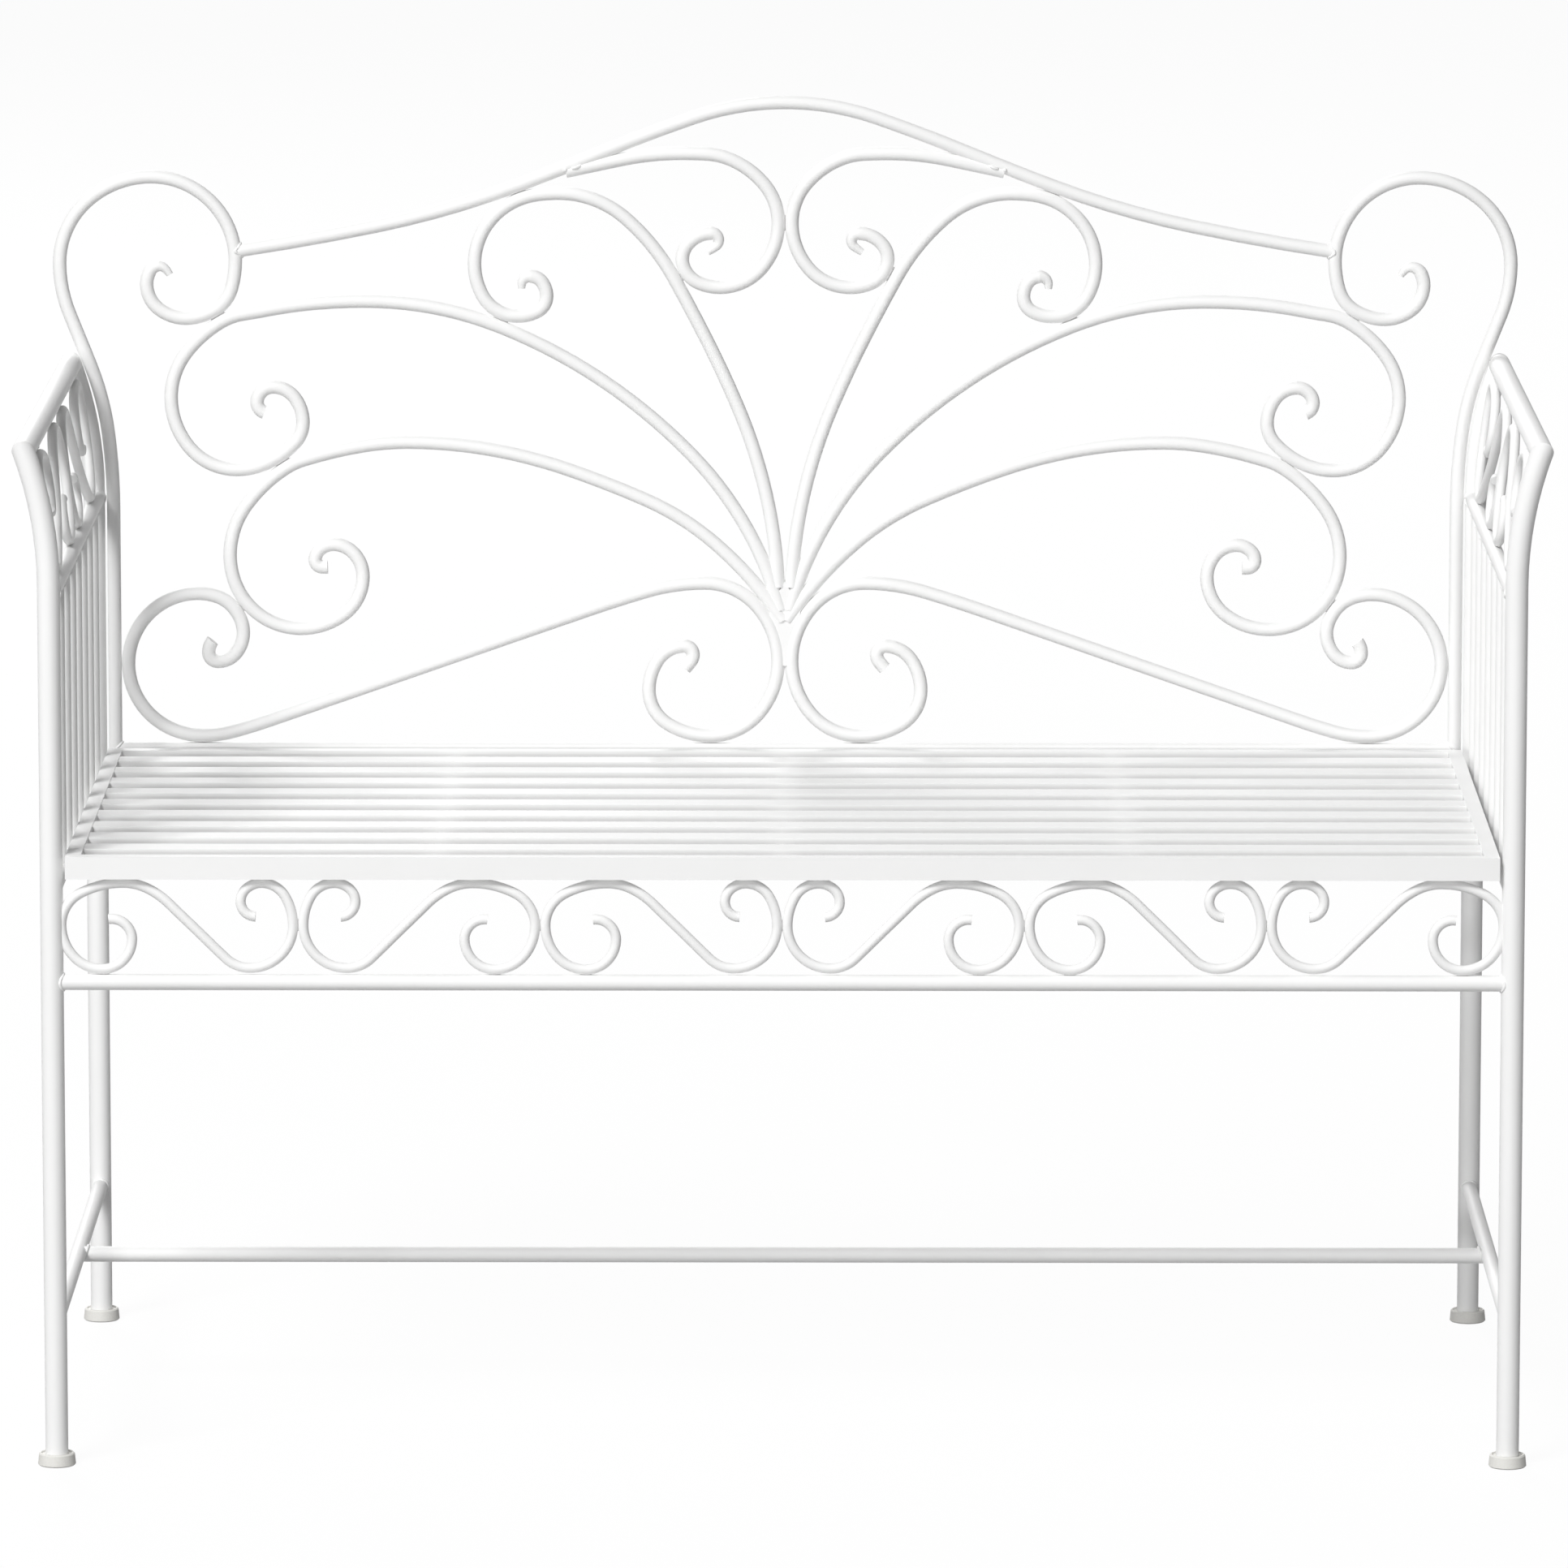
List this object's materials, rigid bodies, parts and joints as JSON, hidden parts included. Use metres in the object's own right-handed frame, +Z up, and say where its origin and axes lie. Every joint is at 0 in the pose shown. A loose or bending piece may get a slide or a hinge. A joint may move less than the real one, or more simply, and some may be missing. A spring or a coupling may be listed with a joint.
{
  "type": "daybed",
  "caption": "White wrought-iron daybed frame with a slatted seat, low flared arms, a scrolled apron and a high back of fanned scroll rods under an arched crest.",
  "frame": {"origin": "on the floor, midway between the four legs and under the middle of the object's overall box", "axes": "+X along the seat, to the right as seen from the front; +Y from the front to the back; +Z up"},
  "size_m": [1.215, 0.59, 1.0339],
  "materials": {
    "white_powder_coat": "smooth satin white powder coat",
    "foot_rubber": "matte off-white rubber",
    "bolt_steel": "steel button heads painted white with the frame"
  },
  "bodies": {
    "root": {"apron_rail": "white_powder_coat", "apron_scroll_1": "white_powder_coat", "apron_scroll_2": "white_powder_coat", "apron_scroll_3": "white_powder_coat", "apron_scroll_4": "white_powder_coat", "apron_scroll_5": "white_powder_coat", "apron_scroll_6": "white_powder_coat", "back_bolts": "bolt_steel", "back_bottom_rail": "white_powder_coat", "back_spacers": "white_powder_coat", "crest_rail": "white_powder_coat", "hub_block": "white_powder_coat", "left_arm_cross_rail": "white_powder_coat", "left_arm_rail": "white_powder_coat", "left_back_stile": "white_powder_coat", "left_first_back_scroll": "white_powder_coat", "left_front_arm_scroll": "white_powder_coat", "left_front_foot": "foot_rubber", "left_front_leg": "white_powder_coat", "left_lower_back_scroll": "white_powder_coat", "left_rear_arm_scroll": "white_powder_coat", "left_rear_foot": "foot_rubber", "left_rear_leg": "white_powder_coat", "left_seat_side_rail": "white_powder_coat", "left_seat_tabs": "white_powder_coat", "left_second_back_scroll": "white_powder_coat", "left_side_bars": "white_powder_coat", "left_side_seat_rail": "white_powder_coat", "left_side_stretcher": "white_powder_coat", "left_third_back_scroll": "white_powder_coat", "left_top_back_scroll": "white_powder_coat", "long_stretcher": "white_powder_coat", "right_arm_cross_rail": "white_powder_coat", "right_arm_rail": "white_powder_coat", "right_back_stile": "white_powder_coat", "right_first_back_scroll": "white_powder_coat", "right_front_arm_scroll": "white_powder_coat", "right_front_foot": "foot_rubber", "right_front_leg": "white_powder_coat", "right_lower_back_scroll": "white_powder_coat", "right_rear_arm_scroll": "white_powder_coat", "right_rear_foot": "foot_rubber", "right_rear_leg": "white_powder_coat", "right_seat_side_rail": "white_powder_coat", "right_seat_tabs": "white_powder_coat", "right_second_back_scroll": "white_powder_coat", "right_side_bars": "white_powder_coat", "right_side_seat_rail": "white_powder_coat", "right_side_stretcher": "white_powder_coat", "right_third_back_scroll": "white_powder_coat", "right_top_back_scroll": "white_powder_coat", "seat_bolts": "bolt_steel", "seat_front_rail": "white_powder_coat", "seat_rear_rail": "white_powder_coat", "seat_slats": "white_powder_coat", "seat_supports": "white_powder_coat"}
  },
  "joints": []
}
